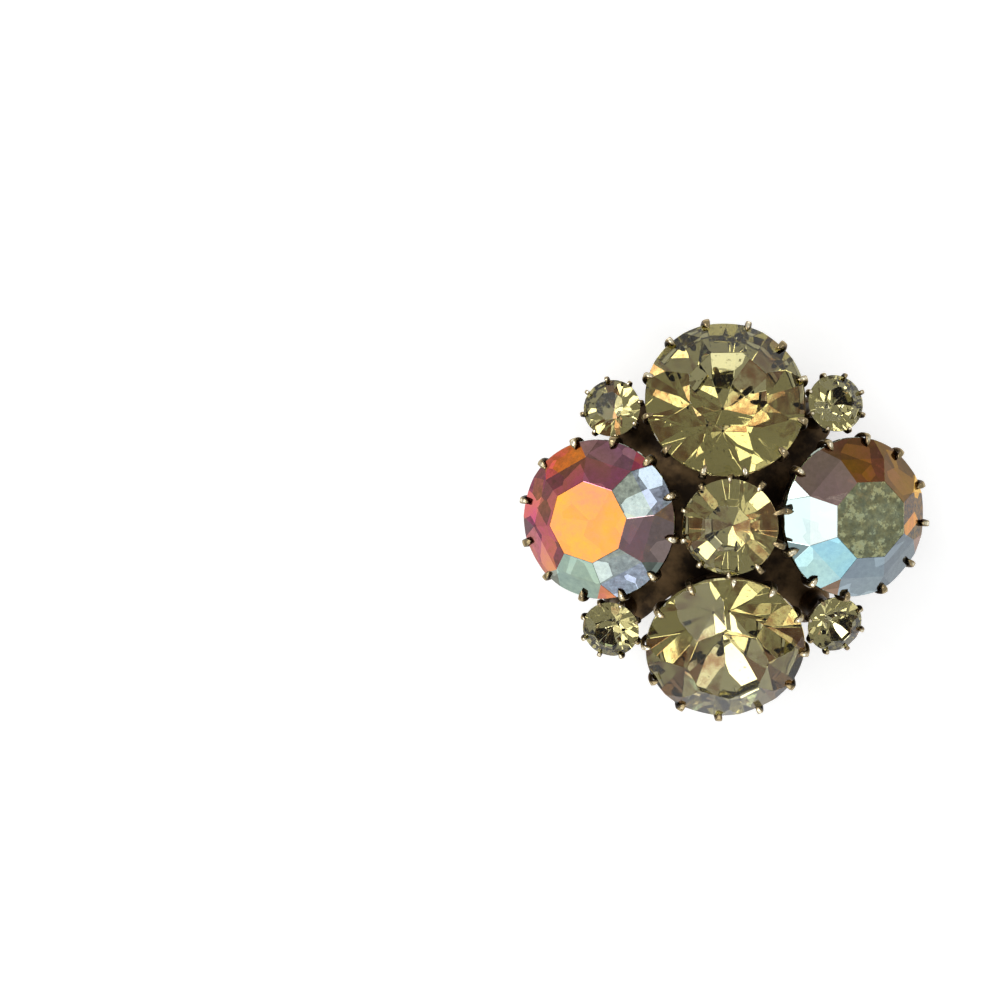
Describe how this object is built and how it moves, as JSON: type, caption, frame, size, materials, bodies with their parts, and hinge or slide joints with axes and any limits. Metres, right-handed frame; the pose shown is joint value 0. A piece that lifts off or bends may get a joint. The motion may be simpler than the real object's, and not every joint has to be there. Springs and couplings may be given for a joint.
{
  "type": "cluster earring",
  "caption": "Clip earring: a raised middle stone ringed by large and small round cut stones in brass claw cups, soldered to a domed back plate with a bent strip clip behind.",
  "frame": {"origin": "middle of the bounding box's underside, on the surface that the earring rests on", "axes": "+Z out of the front of the cluster, +Y towards the top of the earring as worn, +X towards the viewer's right"},
  "size_m": [0.0281, 0.0277, 0.0164],
  "materials": {
    "tarnished_brass": "aged, brown in the hollows and bright on the claw tips",
    "clip_brass": "plain, lightly worn",
    "olive_glass": "cut, pale yellow-olive, foil backed",
    "rainbow_glass": "cut, rainbow coated, foil backed"
  },
  "bodies": {
    "root": {"setting": "tarnished_brass", "ear_clip": "clip_brass", "stone_centre": "olive_glass", "stone_top": "olive_glass", "stone_bottom": "olive_glass", "stone_left": "rainbow_glass", "stone_right": "rainbow_glass", "stone_top_left": "olive_glass", "stone_top_right": "olive_glass", "stone_bottom_left": "olive_glass", "stone_bottom_right": "olive_glass"}
  },
  "joints": []
}
